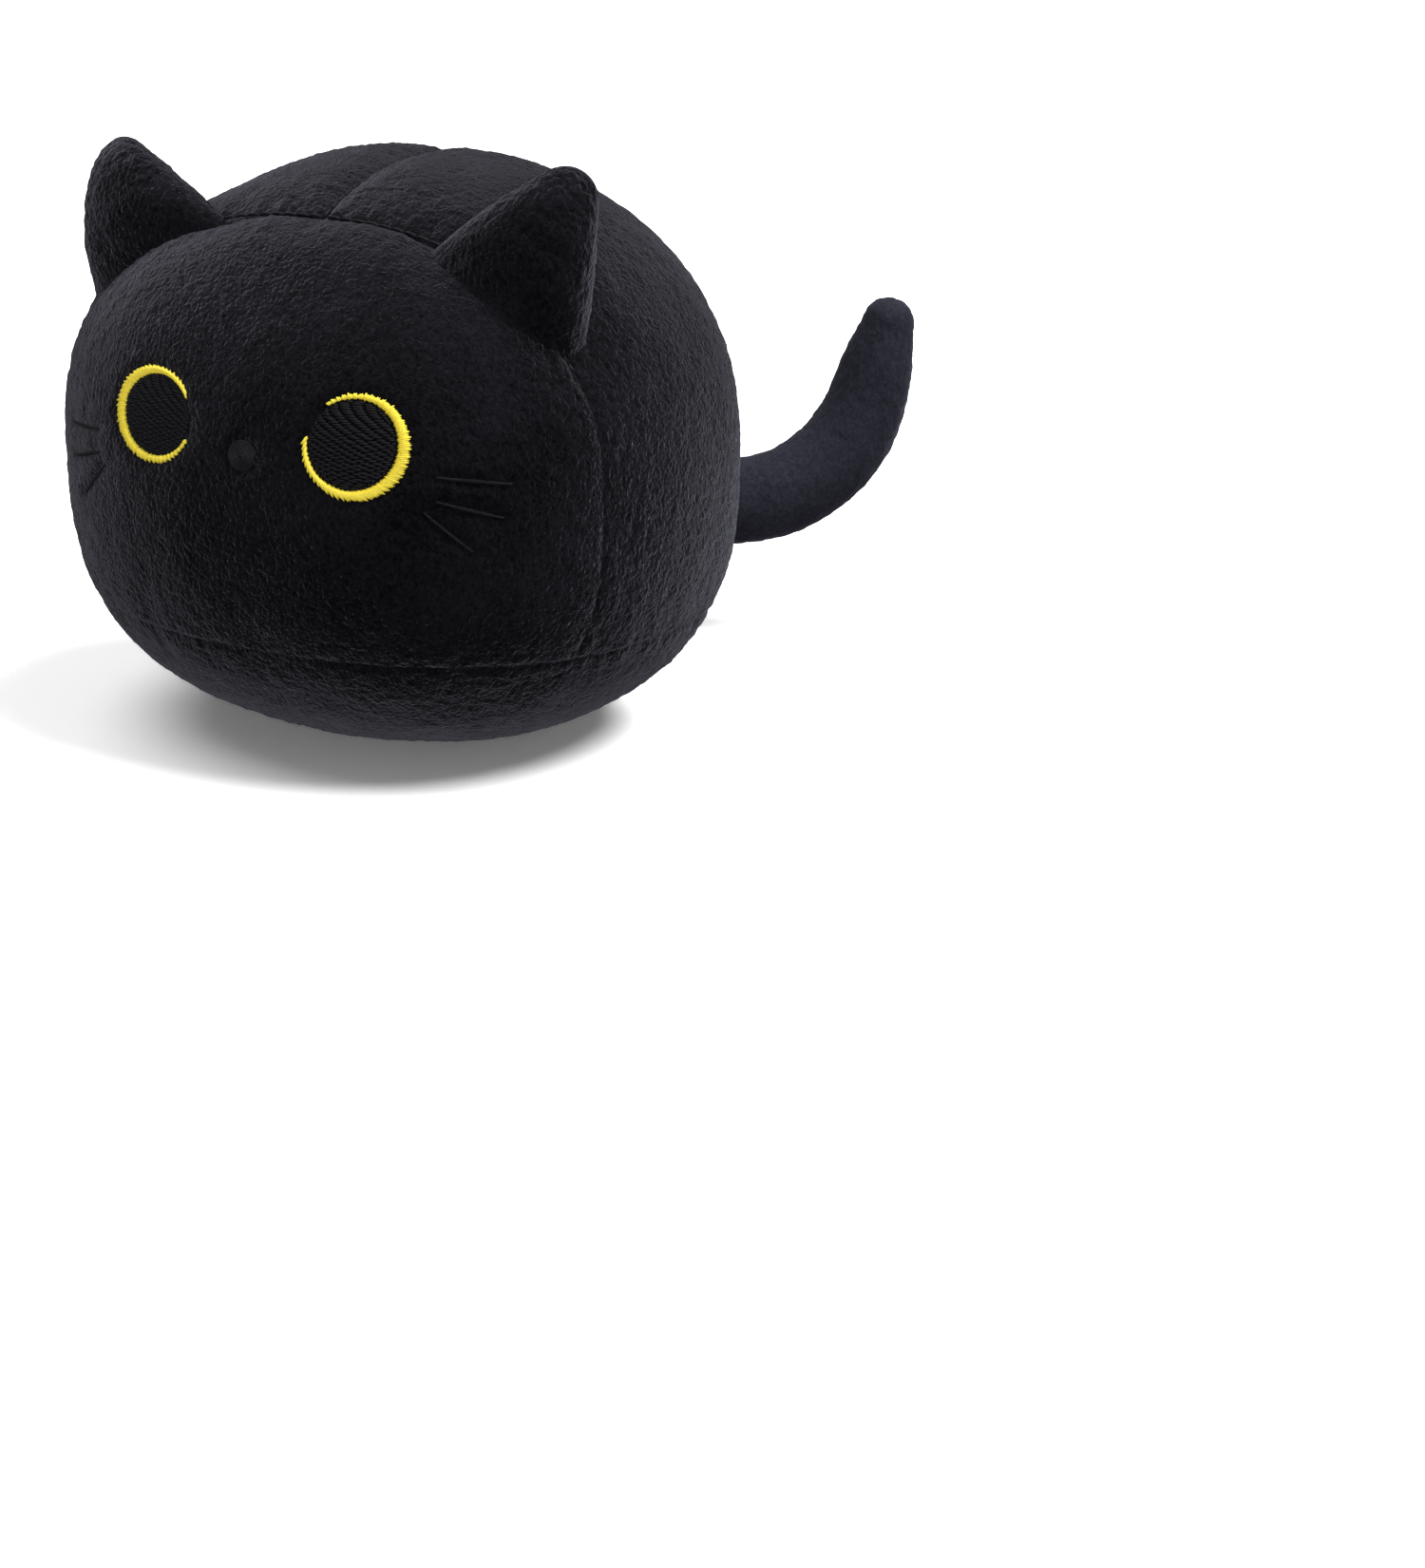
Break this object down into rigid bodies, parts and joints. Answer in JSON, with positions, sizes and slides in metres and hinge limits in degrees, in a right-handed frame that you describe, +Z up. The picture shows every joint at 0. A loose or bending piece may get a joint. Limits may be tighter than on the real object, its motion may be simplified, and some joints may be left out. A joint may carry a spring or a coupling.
{
  "type": "plush cat",
  "caption": "Round stuffed black cat with flexible ears, an embroidered face and a curled tail that swings and bends.",
  "frame": {"origin": "centre of the flat patch that the cat rests on, under the widest section of the body", "axes": "+Z up, the cat faces -Y, +X towards the cat's own left"},
  "size_m": [0.1999, 0.2567, 0.1707],
  "materials": {
    "plush": "matte",
    "stuffing": "matte",
    "black_thread": "satin",
    "yellow_thread": "satin",
    "grey_thread": "satin"
  },
  "bodies": {
    "body": {"body_stuffing": "stuffing", "face_panel": "plush", "left_side_panel": "plush", "right_side_panel": "plush", "base_panel": "plush", "face_seam_thread": "black_thread", "centre_seam_thread": "black_thread", "base_seam_thread": "black_thread", "left_eye_outline": "yellow_thread", "right_eye_outline": "yellow_thread", "left_pupil": "black_thread", "right_pupil": "black_thread", "nose": "grey_thread", "left_whiskers": "black_thread", "right_whiskers": "black_thread"},
    "left_ear": {"left_ear_front": "plush", "left_ear_back": "plush", "left_ear_stuffing": "stuffing"},
    "right_ear": {"right_ear_front": "plush", "right_ear_back": "plush", "right_ear_stuffing": "stuffing"},
    "tail_root": {"tail_root_cover": "plush", "tail_root_stuffing": "stuffing"},
    "tail_tip": {"tail_tip_cover": "plush", "tail_tip_stuffing": "stuffing"}
  },
  "joints": [
    {"name": "left_ear_flex", "type": "hinge", "parent": "body", "child": "left_ear", "pos_m": [0.06078, -0.05769, 0.14173], "axis": [0.8259, 0.1456, -0.5446], "range_deg": [-18, 18], "stiffness_Nm_per_rad": 0.06},
    {"name": "right_ear_flex", "type": "hinge", "parent": "body", "child": "right_ear", "pos_m": [-0.06078, -0.05769, 0.14173], "axis": [0.8259, -0.1456, 0.5446], "range_deg": [-18, 18], "stiffness_Nm_per_rad": 0.06},
    {"name": "tail_swing", "type": "hinge", "parent": "body", "child": "tail_root", "pos_m": [0, 0.07228, 0.0435], "axis": [0, 0, 1], "range_deg": [-10, 110], "stiffness_Nm_per_rad": 0.06},
    {"name": "tail_bend", "type": "hinge", "parent": "tail_root", "child": "tail_tip", "pos_m": [0.04443, 0.10956, 0.0435], "axis": [0.6428, -0.766, 0], "range_deg": [-25, 30], "stiffness_Nm_per_rad": 0.12}
  ]
}
